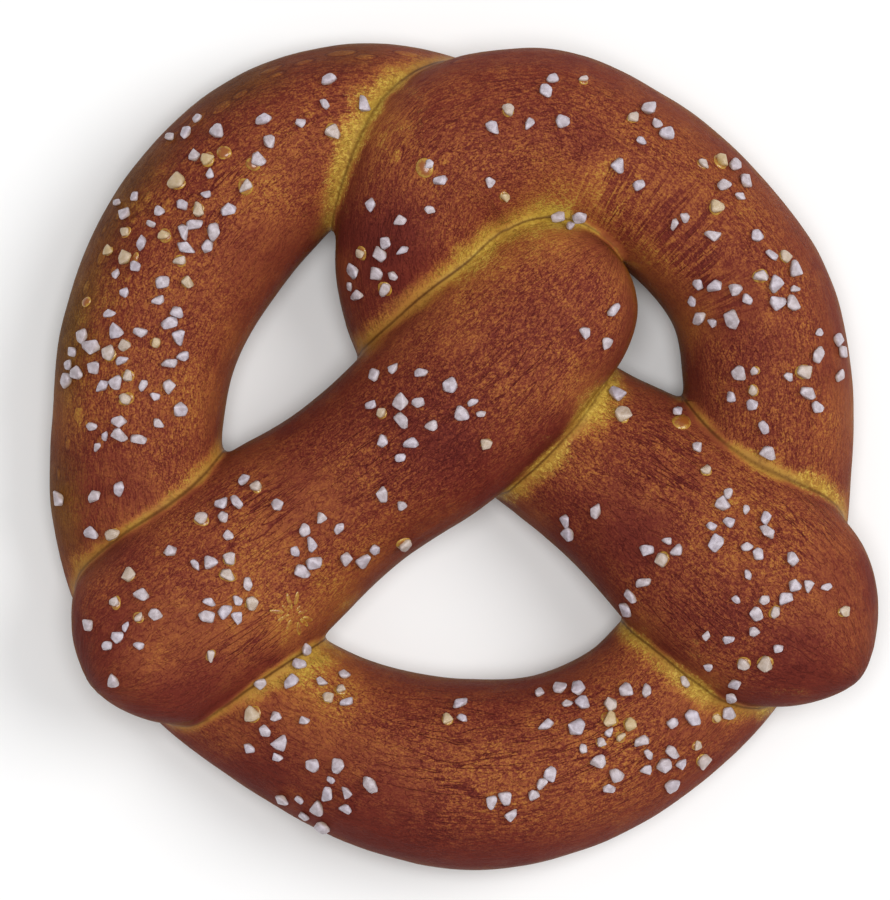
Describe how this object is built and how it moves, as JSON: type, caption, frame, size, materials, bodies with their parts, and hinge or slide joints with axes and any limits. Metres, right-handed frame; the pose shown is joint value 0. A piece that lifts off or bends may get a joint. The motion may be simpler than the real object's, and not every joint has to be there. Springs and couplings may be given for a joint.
{
  "type": "soft pretzel",
  "caption": "Soft pretzel: a baked rope of dough in the twisted bow shape, with three loops, a browned crust and coarse salt on top.",
  "frame": {"origin": "on the flat underside that the pretzel lies on, at the middle of its box seen from above", "axes": "+Z up through the salted top; +Y towards the crossing of the two lobes and -Y towards the curve of the bow, so that the picture's up is +Y; +X to the right, where the broader rope end lies"},
  "size_m": [0.1398, 0.1396, 0.0335],
  "materials": {
    "crust": "satin"
  },
  "bodies": {
    "root": {"pretzel": "crust"}
  },
  "joints": []
}
